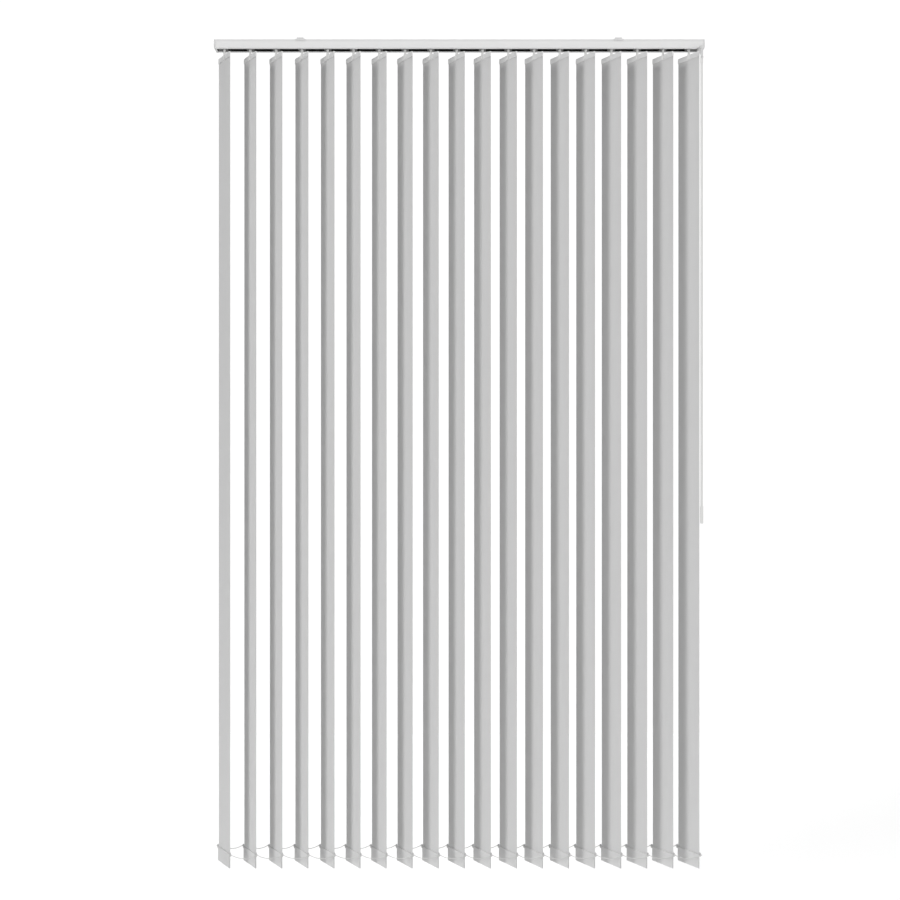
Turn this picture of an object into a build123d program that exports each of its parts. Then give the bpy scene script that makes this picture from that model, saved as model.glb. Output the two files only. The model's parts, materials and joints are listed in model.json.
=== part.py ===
"""Vertical blind with 89 mm vanes, drawn and tilted by one wand on its lead carrier.

Millimetres. X runs along the headrail, +Y points at the window and +Z up. The origin is midway
between the two ceiling screws, on the ceiling. The vanes hang at rest 55 degrees open.
"""

from build123d import *

import os
from math import atan2, cos, hypot, radians, sin, tan

os.makedirs("parts", exist_ok=True)

# Vanes
vane_count = 19
vane_pitch = 78.2
vane_width = 89.0
vane_bottom = -2500.0
rest_angle = 57.0
fabric_thickness = 0.5

# Headrail
rail_depth = 44.0
rail_height = 27.0
rail_wall = 1.5
rail_drop = 5.0
slot_front = -11.5
slot_back = 13.8
face_step = 14.0
face_lean = 2.4
corner_radius = 1.8
inner_corner_radius = 0.3
cap_thickness = 6.0
cap_edge = 0.8
cap_lug_length = 9.0
cap_lug_width = 3.6
cap_lug_relief = 1.0
lug_clearance = 1.3
stem_margin = 28.3
wand_margin = 13.2

# Running gear
stack_pitch = 22.0
stack_gap = 0.6
running_clearance = 0.1
slide_clearance = 0.1
loose_clearance = 0.3
rod_radius = 3.0
rod_flutes = 6
flute_radius = 0.7
worm_radius = 4.4
worm_inset = 2.0
wand_worm_inset = 1.0
gear_radius = 4.8
gear_teeth = 12
gear_thickness = 6.0
gear_hub = 1.5
tooth_depth = 1.0
tooth_foot_share = 0.32
tooth_tip_share = 0.16
journal_radius = 3.0
journal_in_hub = 1.0
neck_radius = 4.1
neck_drop = 1.6
carrier_roof = 1.6
carrier_chamfer = 1.0
rail_headroom = 2.0
link_thickness = 0.6
link_height = 1.6
link_floor = 2.0
link_lanes = 5
lane_pitch = 2.6
link_start = 2.0
link_overlap = 4.0
link_tab = 4.0
link_standoff = 1.6

# Hook, hanger and weight
hook_width = 7.0
hook_collar_radius = 3.5
hook_shoulder = 2.0
hanger_overhang = 0.6
hanger_drop = 15.0
hanger_height = 15.5
hanger_front = 1.9
hanger_back = 0.7
hanger_corner = 3.0
hook_tongue = 1.3
hook_reach = 13.0
peg_radius = 1.6
peg_depth = 2.9
fabric_in_hanger = 9.6
pocket_height = 44.5
pocket_depth = 3.3
pocket_weld = 2.0
weight_thickness = 2.1
weight_inset = 0.2
ear_height = 12.0
ear_length = 7.0
ear_radius = 2.0
ear_above_pocket = 4.5

# Bead chains, drawn here as plain cords
chain_radius = 1.2
chain_knot_radius = 1.9
chain_knot_length = 4.0
chain_sag = 10.4
chain_belly_share = 0.8
chain_shoulder_share = 0.225

# Ceiling clips
clip_offset = 480.0
clip_width = 20.0
clip_lip_width = 30.0
clip_sheet = 1.6
clip_hole_radius = 2.2
clip_leg = 9.0
clip_lip = 4.0
clip_tab_height = 4.4
clip_lip_sheet = 1.5
clip_flare = 0.8
clip_hem = 1.0
clip_hem_drop = 0.6
clip_relief = 0.2
clip_pad_width = 12.0
clip_pad_depth = 4.0

# Wand
wand_bearing = 52.4
wand_clearance = 0.8
wand_radius = 3.75
wand_bottom = -1465.0
arm_width = 14.0
arm_height = 7.0
arm_edge = 1.5
arm_gap = 1.2
barrel_radius = 4.2
barrel_length = 19.8
core_radius = 1.5
core_bend = 5.0
joint_drop = 5.0
joint_ear = 1.2
joint_ear_width = 4.4
joint_ear_end = 2.0
trunnion_radius = 0.8
trunnion_relief = 0.05
bore_overrun = 1.0
spider_width = 3.6
collar_length = 14.0
collar_lip = 2.5
collar_roof = 1.5
head_step = 0.8
head_play = 1.0
grip_length = 52.0
grip_radius = 4.7
grip_floor = 2.0
grip_fit = 0.05
grip_foot_radius = 2.0
grip_rim_radius = 0.4

# The wand stands just outside the circle that the last vane's hanger sweeps, and the rail runs
# a little past the wand's stem.
hanger_width = vane_width + 2 * hanger_overhang
wand_reach = hanger_width / 2 + grip_radius + wand_clearance
wand_offset = wand_reach * cos(radians(wand_bearing))
wand_front = wand_reach * sin(radians(wand_bearing))
rail_length = stem_margin + (vane_count - 1) * vane_pitch + wand_offset + wand_margin

rail_top = -rail_drop
rail_under = rail_top - rail_height
rail_half = rail_length / 2
lip_top = rail_under + rail_wall
first_stem = -rail_half + stem_margin
stems = [first_stem + i * vane_pitch for i in range(vane_count)]
rod_y = gear_radius + worm_radius + loose_clearance
rod_z = rail_top - rail_wall - rail_headroom - carrier_roof - worm_radius
channel_length = rail_length - 2 * cap_thickness
carrier_length = stack_pitch - stack_gap
carrier_top = rail_top - rail_wall - rail_headroom
carrier_foot = lip_top + slide_clearance
hanger_top = rail_under - hanger_drop

# The carriers run between the end caps' lugs, with the links in front of them.
carrier_back = rail_depth / 2 - rail_wall - slide_clearance - cap_lug_width - lug_clearance
carrier_front = carrier_back - link_thickness - link_standoff - loose_clearance


def save(shape, name):
    """Names a finished piece and writes it as its node."""
    shape.label = name
    export_step(shape, f"parts/{name}.step")


def placed(shapes, x):
    """One node's solids, moved along the rail."""
    solids = [solid for shape in shapes for solid in shape.solids()]
    return Compound([solid.moved(Location((x, 0, 0))) for solid in solids])


def rail_outline(inset):
    """The headrail's outside, inset by a wall: across the rail, then up."""
    front = -rail_depth / 2 + inset
    back = rail_depth / 2 - inset
    top = rail_top - inset
    bottom = rail_under + inset
    step = rail_under + face_step
    with BuildSketch() as outline:
        with BuildLine():
            Polyline(
                (front, bottom),
                (front, step),
                (front + face_lean, top),
                (back, top),
                (back, bottom),
                close=True,
            )
        make_face()
        uppers = outline.vertices().group_by(Axis.Y)[-1]
        fillet(uppers, radius=max(corner_radius - inset, inner_corner_radius))
    return outline.sketch_local


# Headrail: one aluminium extrusion, a channel with a slot along its underside.
with BuildPart() as headrail:
    with BuildSketch(Plane.YZ.offset(-channel_length / 2)):
        add(rail_outline(0))
        add(rail_outline(rail_wall), mode=Mode.SUBTRACT)
        with Locations(((slot_front + slot_back) / 2, rail_under + rail_wall / 2)):
            Rectangle(slot_back - slot_front, 2 * rail_wall, mode=Mode.SUBTRACT)
    extrude(amount=channel_length)
save(headrail.part, "headrail")


def end_cap(side):
    """A moulded cap that plugs one end of the rail and holds the tilt rod's end."""
    inner = side * channel_length / 2
    with BuildPart() as cap:
        with BuildSketch(Plane.YZ.offset(inner)):
            add(rail_outline(0))
        extrude(amount=side * cap_thickness)
        lug_y = rail_depth / 2 - rail_wall - slide_clearance - cap_lug_width / 2
        with Locations(
            (inner - side * cap_lug_length / 2, -lug_y, lip_top + slide_clearance),
            (inner - side * cap_lug_length / 2, lug_y, lip_top + slide_clearance),
        ):
            Box(
                cap_lug_length,
                cap_lug_width,
                face_step - rail_wall - cap_lug_relief,
                align=(Align.CENTER, Align.CENTER, Align.MIN),
            )
        outer = cap.faces().sort_by(Axis.X)[-1 if side > 0 else 0]
        fillet(outer.edges(), radius=cap_edge)
        with BuildSketch(Plane.YZ.offset(inner)):
            with Locations((rod_y, rod_z)):
                Circle(rod_radius + running_clearance)
        extrude(amount=side * cap_thickness / 2, mode=Mode.SUBTRACT)
    return cap.part


save(end_cap(-1), "left_end_cap")
save(end_cap(1), "right_end_cap")

# Tilt rod: a fluted rod that turns every carrier's worm.
rod_length = channel_length + cap_thickness - 2 * loose_clearance
with BuildPart() as tilt_rod:
    with BuildSketch(Plane.YZ.offset(-rod_length / 2)):
        with Locations((rod_y, rod_z)):
            Circle(rod_radius)
            with PolarLocations(rod_radius, rod_flutes):
                Circle(flute_radius, mode=Mode.SUBTRACT)
    extrude(amount=rod_length)
save(tilt_rod.part, "tilt_rod")


def ceiling_clip(x):
    """A sprung steel clip: a plate on the ceiling with a lip and a leg that grip the rail."""
    back = rail_depth / 2 + slide_clearance
    front = -rail_depth / 2 + face_lean
    foot = front - clip_sheet - clip_flare
    with BuildPart() as clip:
        with BuildSketch(Plane.YZ.offset(x - clip_width / 2)):
            with BuildLine():
                Polyline(
                    (front, 0),
                    (back + clip_sheet, 0),
                    (back + clip_sheet, rail_top - clip_leg),
                    (back, rail_top - clip_leg),
                    (back, -clip_sheet),
                    (front, -clip_sheet),
                    close=True,
                )
            make_face()
        extrude(amount=clip_width)
        with BuildSketch(Plane.YZ.offset(x - clip_lip_width / 2)):
            with BuildLine():
                Polyline(
                    (front + clip_hem, 0),
                    (front - clip_sheet, -clip_hem_drop),
                    (foot, rail_top - clip_lip),
                    (foot + clip_lip_sheet, rail_top - clip_lip),
                    (front - clip_relief, -clip_sheet),
                    (front + clip_hem, -clip_sheet),
                    close=True,
                )
            make_face()
        extrude(amount=clip_lip_width)
        shoulder = (clip_lip_width - clip_width) / 2
        shoulder_x = (clip_lip_width + clip_width) / 4
        with Locations((x - shoulder_x, front, 0), (x + shoulder_x, front, 0)):
            Box(
                shoulder,
                rail_depth / 2,
                clip_lip - rail_top - clip_tab_height,
                align=(Align.CENTER, Align.CENTER, Align.MAX),
                mode=Mode.SUBTRACT,
            )
        with Locations((x, -rail_depth / 4, 0), (x, rail_depth / 4, 0)):
            Box(
                clip_pad_width,
                clip_pad_depth,
                rail_drop - slide_clearance,
                align=(Align.CENTER, Align.CENTER, Align.MAX),
            )
        with Locations((x, 0, 0)):
            Hole(clip_hole_radius, depth=clip_sheet)
    return clip.part


save(ceiling_clip(-clip_offset), "ceiling_clip_left")
save(ceiling_clip(clip_offset), "ceiling_clip_right")

gear_floor = rod_z - gear_thickness / 2 - gear_hub


def gear_outline(teeth, tip, depth):
    """A wheel with straight-sided teeth, centred on the sketch's origin."""
    root = tip - depth
    step = 360 / teeth
    tooth = (
        (-tooth_foot_share, root),
        (-tooth_tip_share, tip),
        (tooth_tip_share, tip),
        (tooth_foot_share, root),
    )
    points = []
    for i in range(teeth):
        for share, radius in tooth:
            turn = radians((i + share) * step)
            points.append((radius * cos(turn), radius * sin(turn)))
    with BuildSketch() as outline:
        with BuildLine():
            Polyline(*points, close=True)
        make_face()
    return outline.sketch


def gear_stem(foot):
    """A wheel on a journal, as both the vane hooks and the wand's stem have."""
    with BuildPart() as stem:
        with BuildSketch(Plane.XY.offset(rod_z - gear_thickness / 2)):
            add(gear_outline(gear_teeth, gear_radius, tooth_depth))
        extrude(amount=gear_thickness)
        with BuildSketch(Plane.XY.offset(gear_floor + slide_clearance)):
            Circle(gear_radius - tooth_depth)
        extrude(amount=gear_hub)
        with BuildSketch(Plane.XY.offset(foot)):
            Circle(journal_radius)
        extrude(amount=gear_floor + journal_in_hub - foot)
    return stem.part


def carrier_body(right, bores):
    """A carrier's moulded body round x = 0, with a pocket and a bore for each stem."""
    left = -carrier_length / 2
    with BuildPart() as body:
        with Locations((left, -carrier_front, carrier_foot)):
            Box(
                right - left,
                carrier_front + carrier_back,
                carrier_top - carrier_foot,
                align=(Align.MIN, Align.MIN, Align.MIN),
            )
        chamfer(body.edges().filter_by(Axis.X), length=carrier_chamfer)
        with BuildSketch(Plane.XY.offset(rail_under - neck_drop)):
            Circle(neck_radius)
        extrude(amount=carrier_foot - rail_under + neck_drop)
        with BuildSketch(Plane.YZ.offset(left)):
            with Locations((rod_y, rod_z)):
                Circle(worm_radius + running_clearance)
        extrude(amount=right - left, mode=Mode.SUBTRACT)
        for x in bores:
            with BuildSketch(Plane.XY.offset(gear_floor)):
                with Locations((x, 0)):
                    Circle(gear_radius + 2 * loose_clearance)
            extrude(amount=carrier_top - gear_floor, mode=Mode.SUBTRACT)
            with BuildSketch(Plane.XY.offset(rail_under - neck_drop)):
                with Locations((x, 0)):
                    Circle(journal_radius + running_clearance)
            extrude(amount=gear_floor - rail_under + neck_drop, mode=Mode.SUBTRACT)
    return body.part


def worm_sleeve(left, right):
    """A sleeve on the tilt rod that drives one stem, from left to right."""
    with BuildPart() as sleeve:
        with BuildSketch(Plane.YZ.offset(left)):
            with Locations((rod_y, rod_z)):
                Circle(worm_radius)
                Circle(rod_radius + running_clearance, mode=Mode.SUBTRACT)
        extrude(amount=right - left)
    return sleeve.part


def spacer_link(lane):
    """The flat steel link that sets one pitch; each lane has its own height, so links pass."""
    z = carrier_foot + link_floor + link_height / 2 + lane * lane_pitch
    outside = -carrier_front - link_standoff - link_thickness
    with BuildPart() as link:
        with Locations((-link_start, outside, z)):
            Box(
                link_start + vane_pitch + link_overlap,
                link_thickness,
                link_height,
                align=(Align.MIN, Align.MIN, Align.CENTER),
            )
        with Locations((0, outside, z)):
            Box(
                link_tab,
                link_standoff + link_thickness,
                link_height,
                align=(Align.CENTER, Align.MIN, Align.CENTER),
            )
    return link.part


# Carriers: one moulded glider for each vane, with its worm and the link to the next one.
plain_body = carrier_body(carrier_length / 2, [0])
worm_end = carrier_length / 2 - worm_inset
plain_worm = worm_sleeve(-worm_end, worm_end)
for i, x in enumerate(stems[:-1]):
    solids = [plain_body, plain_worm, spacer_link(i % link_lanes)]
    save(placed(solids, x), f"carrier_{i + 1:02d}")

# The lead carrier is longer: it also takes the wand's stem.
wand_x = stems[-1] + wand_offset
lead_end = rail_half - cap_thickness - stack_gap - stems[-1]
lead_body = carrier_body(lead_end, [0, wand_offset])
wand_worm = worm_sleeve(carrier_length / 2 + wand_worm_inset, lead_end - wand_worm_inset)
save(
    placed([lead_body, plain_worm, wand_worm], stems[-1]),
    f"carrier_{vane_count:02d}",
)

# Hook: the stem that turns in the carrier and holds the hanger by its peg.
hook_top = hanger_top + hook_shoulder
hook_bottom = hanger_top - hook_reach
hook_front = -hanger_front - running_clearance - hook_tongue
hook_back = hanger_back + running_clearance + hook_tongue
with BuildPart() as hook:
    add(gear_stem(rail_under - neck_drop - slide_clearance))
    with BuildSketch(Plane.XY.offset(hook_top)):
        Circle(hook_collar_radius)
    extrude(amount=rail_under - neck_drop - slide_clearance - hook_top)
    with Locations((0, (hook_front + hook_back) / 2, hook_bottom)):
        Box(
            hook_width,
            hook_back - hook_front,
            hook_top - hook_bottom,
            align=(Align.CENTER, Align.CENTER, Align.MIN),
        )
    with Locations((0, (hanger_back - hanger_front) / 2, hook_bottom)):
        Box(
            hook_width,
            hanger_front + hanger_back + 2 * running_clearance,
            hanger_top + running_clearance - hook_bottom,
            align=(Align.CENTER, Align.CENTER, Align.MIN),
            mode=Mode.SUBTRACT,
        )
    with BuildSketch(Plane.XZ.offset(-hook_back)):
        with Locations((0, hanger_top - peg_depth)):
            Circle(peg_radius)
    extrude(amount=hook_back - hook_front)

# Hanger: a moulded strip that grips the vane's top, with a hole for the hook's peg.
with BuildPart() as hanger:
    with BuildSketch(Plane.XZ.offset(hanger_front)):
        with Locations((0, hanger_top)):
            Rectangle(hanger_width, hanger_height, align=(Align.CENTER, Align.MAX))
    extrude(amount=-(hanger_front + hanger_back))
    uppers = hanger.edges().filter_by(Axis.Y).group_by(Axis.Z)[-1]
    fillet(uppers, radius=hanger_corner)
    with Locations((0, 0, hanger_top - hanger_height)):
        Box(
            hanger_width,
            fabric_thickness + 2 * slide_clearance,
            fabric_in_hanger,
            align=(Align.CENTER, Align.CENTER, Align.MIN),
            mode=Mode.SUBTRACT,
        )
    with BuildSketch(Plane.XZ.offset(hanger_front)):
        with Locations((0, hanger_top - peg_depth)):
            Circle(peg_radius + running_clearance)
    extrude(amount=-(hanger_front + hanger_back), mode=Mode.SUBTRACT)

# Fabric: the flat vane with its bottom pocket, open at both edges.
fabric_top = hanger_top - hanger_height + fabric_in_hanger - slide_clearance
pocket_front = fabric_thickness / 2 - pocket_depth
pocket_top = vane_bottom + pocket_height
with BuildPart() as fabric:
    with BuildSketch(Plane.YZ.offset(-vane_width / 2)):
        with Locations((0, vane_bottom)):
            Rectangle(
                fabric_thickness,
                fabric_top - vane_bottom,
                align=(Align.CENTER, Align.MIN),
            )
        with Locations((pocket_front, vane_bottom)):
            Rectangle(pocket_depth, pocket_height, align=(Align.MIN, Align.MIN))
        with Locations((pocket_front + fabric_thickness, vane_bottom + fabric_thickness)):
            Rectangle(
                pocket_depth - 2 * fabric_thickness,
                pocket_height - fabric_thickness - pocket_weld,
                align=(Align.MIN, Align.MIN),
                mode=Mode.SUBTRACT,
            )
    extrude(amount=vane_width)

# Weight: a plate in the pocket, with an ear at each end for the chains.
weight_front = -fabric_thickness / 2 - slide_clearance - weight_thickness
weight_bottom = vane_bottom + fabric_thickness + slide_clearance
weight_top = pocket_top - pocket_weld - slide_clearance
ear_top = pocket_top + ear_above_pocket
ear_out = vane_width / 2 + ear_length
with BuildPart() as weight:
    with BuildSketch(Plane.XZ.offset(-weight_front)):
        with Locations((0, weight_bottom)):
            Rectangle(
                vane_width - 2 * weight_inset,
                weight_top - weight_bottom,
                align=(Align.CENTER, Align.MIN),
            )
        with Locations((0, weight_top)):
            Rectangle(
                2 * ear_out,
                weight_top - ear_top + ear_height,
                align=(Align.CENTER, Align.MAX),
            )
        for side in (-1, 1):
            with Locations((side * ear_out, ear_top)):
                Rectangle(
                    ear_length - slide_clearance,
                    ear_height,
                    align=(Align.MAX if side > 0 else Align.MIN, Align.MAX),
                )
    extrude(amount=-weight_thickness)
    corners = weight.edges().filter_by(Axis.Y)
    tips = corners.filter_by(lambda edge: abs(edge.center().X) > ear_out - 0.01)
    fillet(tips, radius=ear_radius)

turned = Rotation(0, 0, -rest_angle)
vane_solids = [
    solid.moved(turned)
    for piece in (hook, hanger, fabric, weight)
    for solid in piece.part.solids()
]
for i, x in enumerate(stems):
    save(placed(vane_solids, x), f"vane_{i + 1:02d}")

# Chains: one along the vanes' room edges and one along their window edges. Each hangs in one
# shallow loop between ears, and a small knot holds it at each ear's tip.
knot_reach = chain_knot_length / 2 * cos(radians(rest_angle))
knot_reach += chain_knot_radius * sin(radians(rest_angle))
chain_out = ear_out + loose_clearance + knot_reach
chain_mid = weight_front + weight_thickness / 2
chain_z = ear_top - ear_height / 2

shoulder = chain_shoulder_share * vane_pitch
belly = chain_z - chain_belly_share * chain_sag
loop_points = [
    (0, 0, chain_z),
    (shoulder, 0, belly),
    (vane_pitch / 2, 0, chain_z - chain_sag),
    (vane_pitch - shoulder, 0, belly),
    (vane_pitch, 0, chain_z),
]


def bend_radius(before, corner, after):
    """The largest arc at a corner of the chain's route that leaves each run a straight middle."""
    first = (corner[0] - before[0], corner[2] - before[2])
    second = (after[0] - corner[0], after[2] - corner[2])
    turn = atan2(second[1], second[0]) - atan2(first[1], first[0])
    return 0.45 * min(hypot(*first), hypot(*second)) / tan(abs(turn) / 2)


loop_radii = [bend_radius(*loop_points[i:i + 3]) for i in range(len(loop_points) - 2)]
print("chain bends, mm:", [round(radius, 1) for radius in loop_radii])
with BuildLine() as loop_route:
    FilletPolyline(*loop_points, radius=loop_radii)
with BuildPart() as chain_loop:
    with BuildSketch(Plane(origin=loop_route.line @ 0, z_dir=loop_route.line % 0)):
        Circle(chain_radius)
    sweep(path=loop_route.line)


def chain(side):
    """One chain, from the first vane's ear to the last one's."""
    across = side * chain_out
    turn = radians(-rest_angle)
    start_x = stems[0] + across * cos(turn) - chain_mid * sin(turn)
    y = across * sin(turn) + chain_mid * cos(turn)
    with BuildPart() as cord:
        for i in range(vane_count - 1):
            with Locations((start_x + i * vane_pitch, y, 0)):
                add(chain_loop.part)
        with Locations(*[(start_x + i * vane_pitch, y, chain_z) for i in range(vane_count)]):
            Cylinder(chain_knot_radius, chain_knot_length, rotation=(0, 90, 0))
    return cord.part


save(chain(1), "front_chain")
save(chain(-1), "back_chain")

# Wand drive: the arm under the lead carrier, with a flexible core from the stem to the wand.
arm_top = rail_under - arm_gap
arm_z = arm_top - arm_height / 2
barrel_end = arm_top - arm_height - barrel_length
joint_z = barrel_end - joint_drop
with BuildPart() as wand_stem:
    add(gear_stem(carrier_foot + loose_clearance))
save(placed([wand_stem.part], wand_x), "wand_stem")

with BuildLine() as core_route:
    FilletPolyline(
        (wand_x, 0, carrier_foot + loose_clearance / 2),
        (wand_x, 0, arm_z),
        (wand_x, -wand_front, arm_z),
        (wand_x, -wand_front, barrel_end),
        radius=core_bend,
    )
with BuildPart() as drive_core:
    with BuildSketch(Plane.XY.offset(carrier_foot + loose_clearance / 2)):
        with Locations((wand_x, 0)):
            Circle(core_radius)
    sweep(path=core_route.line)
save(drive_core.part, "drive_core")

with BuildPart() as wand_arm:
    with BuildSketch(Plane.XY.offset(arm_top - arm_height)):
        with Locations((wand_x, -wand_front / 2)):
            SlotOverall(wand_front + arm_width, arm_width, rotation=90)
    extrude(amount=arm_height)
    fillet(wand_arm.edges().group_by(Axis.Z)[0], radius=arm_edge)
    with BuildSketch(Plane.XY.offset(arm_top)):
        with Locations((wand_x, 0)):
            Circle(neck_radius)
    extrude(amount=carrier_foot - arm_top)
    with BuildSketch(Plane.XY.offset(barrel_end)):
        with Locations((wand_x, -wand_front)):
            Circle(barrel_radius)
    extrude(amount=barrel_length)
    with BuildSketch(Plane.XY.offset(joint_z - joint_ear_end)):
        for side in (-1, 1):
            with Locations((wand_x, -wand_front + side * (barrel_radius - joint_ear / 2))):
                Rectangle(joint_ear_width, joint_ear)
    extrude(amount=joint_drop + joint_ear_end)
    with BuildSketch(Plane.XZ.offset(wand_front - barrel_radius - bore_overrun)):
        with Locations((wand_x, joint_z)):
            Circle(trunnion_radius + running_clearance)
    extrude(amount=2 * (barrel_radius + bore_overrun), mode=Mode.SUBTRACT)
    with BuildSketch(Plane.XY.offset(carrier_foot)):
        with Locations((wand_x, 0)):
            Circle(core_radius + loose_clearance)
    sweep(path=core_route.line, mode=Mode.SUBTRACT)
save(wand_arm.part, "wand_arm")

# Cross of the wand's universal joint.
trunnion_length = 2 * (barrel_radius - trunnion_relief)
with BuildPart() as wand_cross:
    with Locations((wand_x, -wand_front, joint_z)):
        Box(spider_width, spider_width, spider_width)
        Cylinder(trunnion_radius, trunnion_length, rotation=(90, 0, 0))
        Cylinder(trunnion_radius, trunnion_length, rotation=(0, 90, 0))
save(wand_cross.part, "wand_cross")

# Collar: the lower yoke, in which the wand's head turns.
collar_top = joint_z - joint_drop
collar_bottom = collar_top - collar_length
head_radius = journal_radius
head_neck = head_radius - head_step
with BuildPart() as wand_collar:
    with BuildSketch(Plane.XY.offset(collar_bottom)):
        with Locations((wand_x, -wand_front)):
            Circle(barrel_radius)
    extrude(amount=collar_length)
    with BuildSketch(Plane.XY.offset(collar_top)):
        for side in (-1, 1):
            with Locations((wand_x + side * (barrel_radius - joint_ear / 2), -wand_front)):
                Rectangle(joint_ear, joint_ear_width)
    extrude(amount=joint_drop + joint_ear_end)
    with BuildSketch(Plane.YZ.offset(wand_x - barrel_radius - bore_overrun)):
        with Locations((-wand_front, joint_z)):
            Circle(trunnion_radius + running_clearance)
    extrude(amount=2 * (barrel_radius + bore_overrun), mode=Mode.SUBTRACT)
    with BuildSketch(Plane.XY.offset(collar_bottom)):
        with Locations((wand_x, -wand_front)):
            Circle(head_neck + running_clearance)
    extrude(amount=collar_lip, mode=Mode.SUBTRACT)
    with BuildSketch(Plane.XY.offset(collar_bottom + collar_lip)):
        with Locations((wand_x, -wand_front)):
            Circle(head_radius + running_clearance)
    extrude(amount=collar_length - collar_lip - collar_roof, mode=Mode.SUBTRACT)
save(wand_collar.part, "wand_collar")

# Wand: a slim rod with a head in the collar and a sleeve for the hand at its foot.
head_seat = collar_bottom + collar_lip + slide_clearance
rod_start = collar_bottom - loose_clearance
with BuildPart() as wand:
    with BuildSketch(Plane.XY.offset(head_seat)):
        with Locations((wand_x, -wand_front)):
            Circle(head_radius)
    extrude(amount=collar_length - collar_lip - collar_roof - head_play)
    with BuildSketch(Plane.XY.offset(rod_start)):
        with Locations((wand_x, -wand_front)):
            Circle(head_neck)
    extrude(amount=head_seat - rod_start)
    with BuildSketch(Plane.XY.offset(wand_bottom + grip_floor)):
        with Locations((wand_x, -wand_front)):
            Circle(wand_radius)
    extrude(amount=rod_start - wand_bottom - grip_floor)
save(wand.part, "wand")

with BuildPart() as wand_grip:
    with BuildSketch(Plane.XY.offset(wand_bottom)):
        with Locations((wand_x, -wand_front)):
            Circle(grip_radius)
    extrude(amount=grip_length)
    rims = wand_grip.edges().filter_by(GeomType.CIRCLE)
    fillet(rims.group_by(Axis.Z)[0], radius=grip_foot_radius)
    fillet(wand_grip.edges().group_by(Axis.Z)[-1], radius=grip_rim_radius)
    with BuildSketch(Plane.XY.offset(wand_bottom + grip_floor - slide_clearance)):
        with Locations((wand_x, -wand_front)):
            Circle(wand_radius + grip_fit)
    extrude(amount=grip_length, mode=Mode.SUBTRACT)
save(wand_grip.part, "wand_grip")
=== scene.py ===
import json
import math

import bpy
import numpy as np
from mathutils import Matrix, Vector


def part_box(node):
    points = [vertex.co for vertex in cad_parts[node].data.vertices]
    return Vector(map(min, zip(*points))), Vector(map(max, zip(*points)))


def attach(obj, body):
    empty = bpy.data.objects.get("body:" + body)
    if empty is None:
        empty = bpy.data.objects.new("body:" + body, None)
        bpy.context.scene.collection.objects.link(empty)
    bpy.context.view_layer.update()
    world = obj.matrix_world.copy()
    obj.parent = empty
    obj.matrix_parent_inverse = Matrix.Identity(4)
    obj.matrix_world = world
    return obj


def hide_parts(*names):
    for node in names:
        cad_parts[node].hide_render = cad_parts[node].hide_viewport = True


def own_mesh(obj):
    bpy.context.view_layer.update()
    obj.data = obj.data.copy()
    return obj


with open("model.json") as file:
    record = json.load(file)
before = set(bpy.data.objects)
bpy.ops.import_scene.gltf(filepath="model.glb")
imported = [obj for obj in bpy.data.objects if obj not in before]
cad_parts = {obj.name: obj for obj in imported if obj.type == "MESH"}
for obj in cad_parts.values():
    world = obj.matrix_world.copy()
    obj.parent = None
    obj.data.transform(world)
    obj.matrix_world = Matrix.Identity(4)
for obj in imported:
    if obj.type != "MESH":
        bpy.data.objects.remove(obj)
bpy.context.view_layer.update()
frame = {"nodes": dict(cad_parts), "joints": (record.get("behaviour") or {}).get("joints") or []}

# The camera stands in the room, level and square to the headrail, a little left of the blind's
# middle and about half-way down its drop. Its lens is shifted up a little to centre the blind.
camera_data = bpy.data.cameras.new("camera")
camera_data.sensor_width = 36.0
camera_data.lens = 47.47
camera_data.shift_y = 0.0139
camera = bpy.data.objects.new("camera", camera_data)
camera.location = (-0.028, -3.598, -1.2818)
camera.rotation_euler = (math.radians(90), 0, 0)
bpy.context.scene.collection.objects.link(camera)
bpy.context.scene.camera = camera

# Bead chains: two fine chains that keep the vanes' feet in step, one along their room edges and
# one along their window edges. Off-white polyester beads are moulded on a thread, and a small
# barrel holds the chain at each vane. Between two vanes the chain hangs in a shallow loop.
VANE_COUNT = 19
VANE_PITCH = 0.0782
CHAIN_Z = -2.457
CHAIN_SAG = 0.0104
# A loop's shape: how far along it each point is, and its share of the sag.
LOOP = ((0.0, 0.0), (0.0176, 0.8), (0.0391, 1.0), (0.0606, 0.8))
LOOP_GAP = 0.0006
BARREL_RADIUS = 0.0019
BARREL_LENGTH = 0.0040
BARREL_RIM = 0.0004
BEAD_RADIUS = 0.0016
BEAD_HEIGHT = 0.92
BEAD_SPACING = 0.0037
BEAD_MOTTLE = 0.006
THREAD_RADIUS = 0.0006
SMOOTH_UP_TO = math.radians(35)


def linear(code):
    """An sRGB hex colour as the linear values that a shader's sockets take."""
    parts = [int(code[i:i + 2], 16) / 255 for i in (1, 3, 5)]
    return [c / 12.92 if c <= 0.04045 else ((c + 0.055) / 1.055) ** 2.4 for c in parts] + [1]


def add_node(tree, kind, settings=None, values=None, links=None):
    """Adds a node with its settings, the values of its inputs and the links into them."""
    made = tree.nodes.new(kind)
    for name, value in (settings or {}).items():
        setattr(made, name, value)
    for socket, value in (values or {}).items():
        made.inputs[socket].default_value = value
    for socket, output in (links or {}).items():
        tree.links.new(output, made.inputs[socket])
    return made


def new_material(name, colour, roughness, **others):
    """A material with a Principled surface, and the tree, surface and place to add to."""
    made = bpy.data.materials.new(name)
    made.use_nodes = True
    tree = made.node_tree
    surface = tree.nodes["Principled BSDF"]
    surface.inputs["Base Color"].default_value = linear(colour)
    surface.inputs["Roughness"].default_value = roughness
    for socket, value in others.items():
        surface.inputs[socket.replace("_", " ")].default_value = value
    place = add_node(tree, "ShaderNodeTexCoord").outputs["Object"]
    return made, tree, surface, place


def deselect():
    """Leaves nothing selected, so that the next operator acts on its own piece alone."""
    bpy.ops.object.select_all(action="DESELECT")


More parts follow.
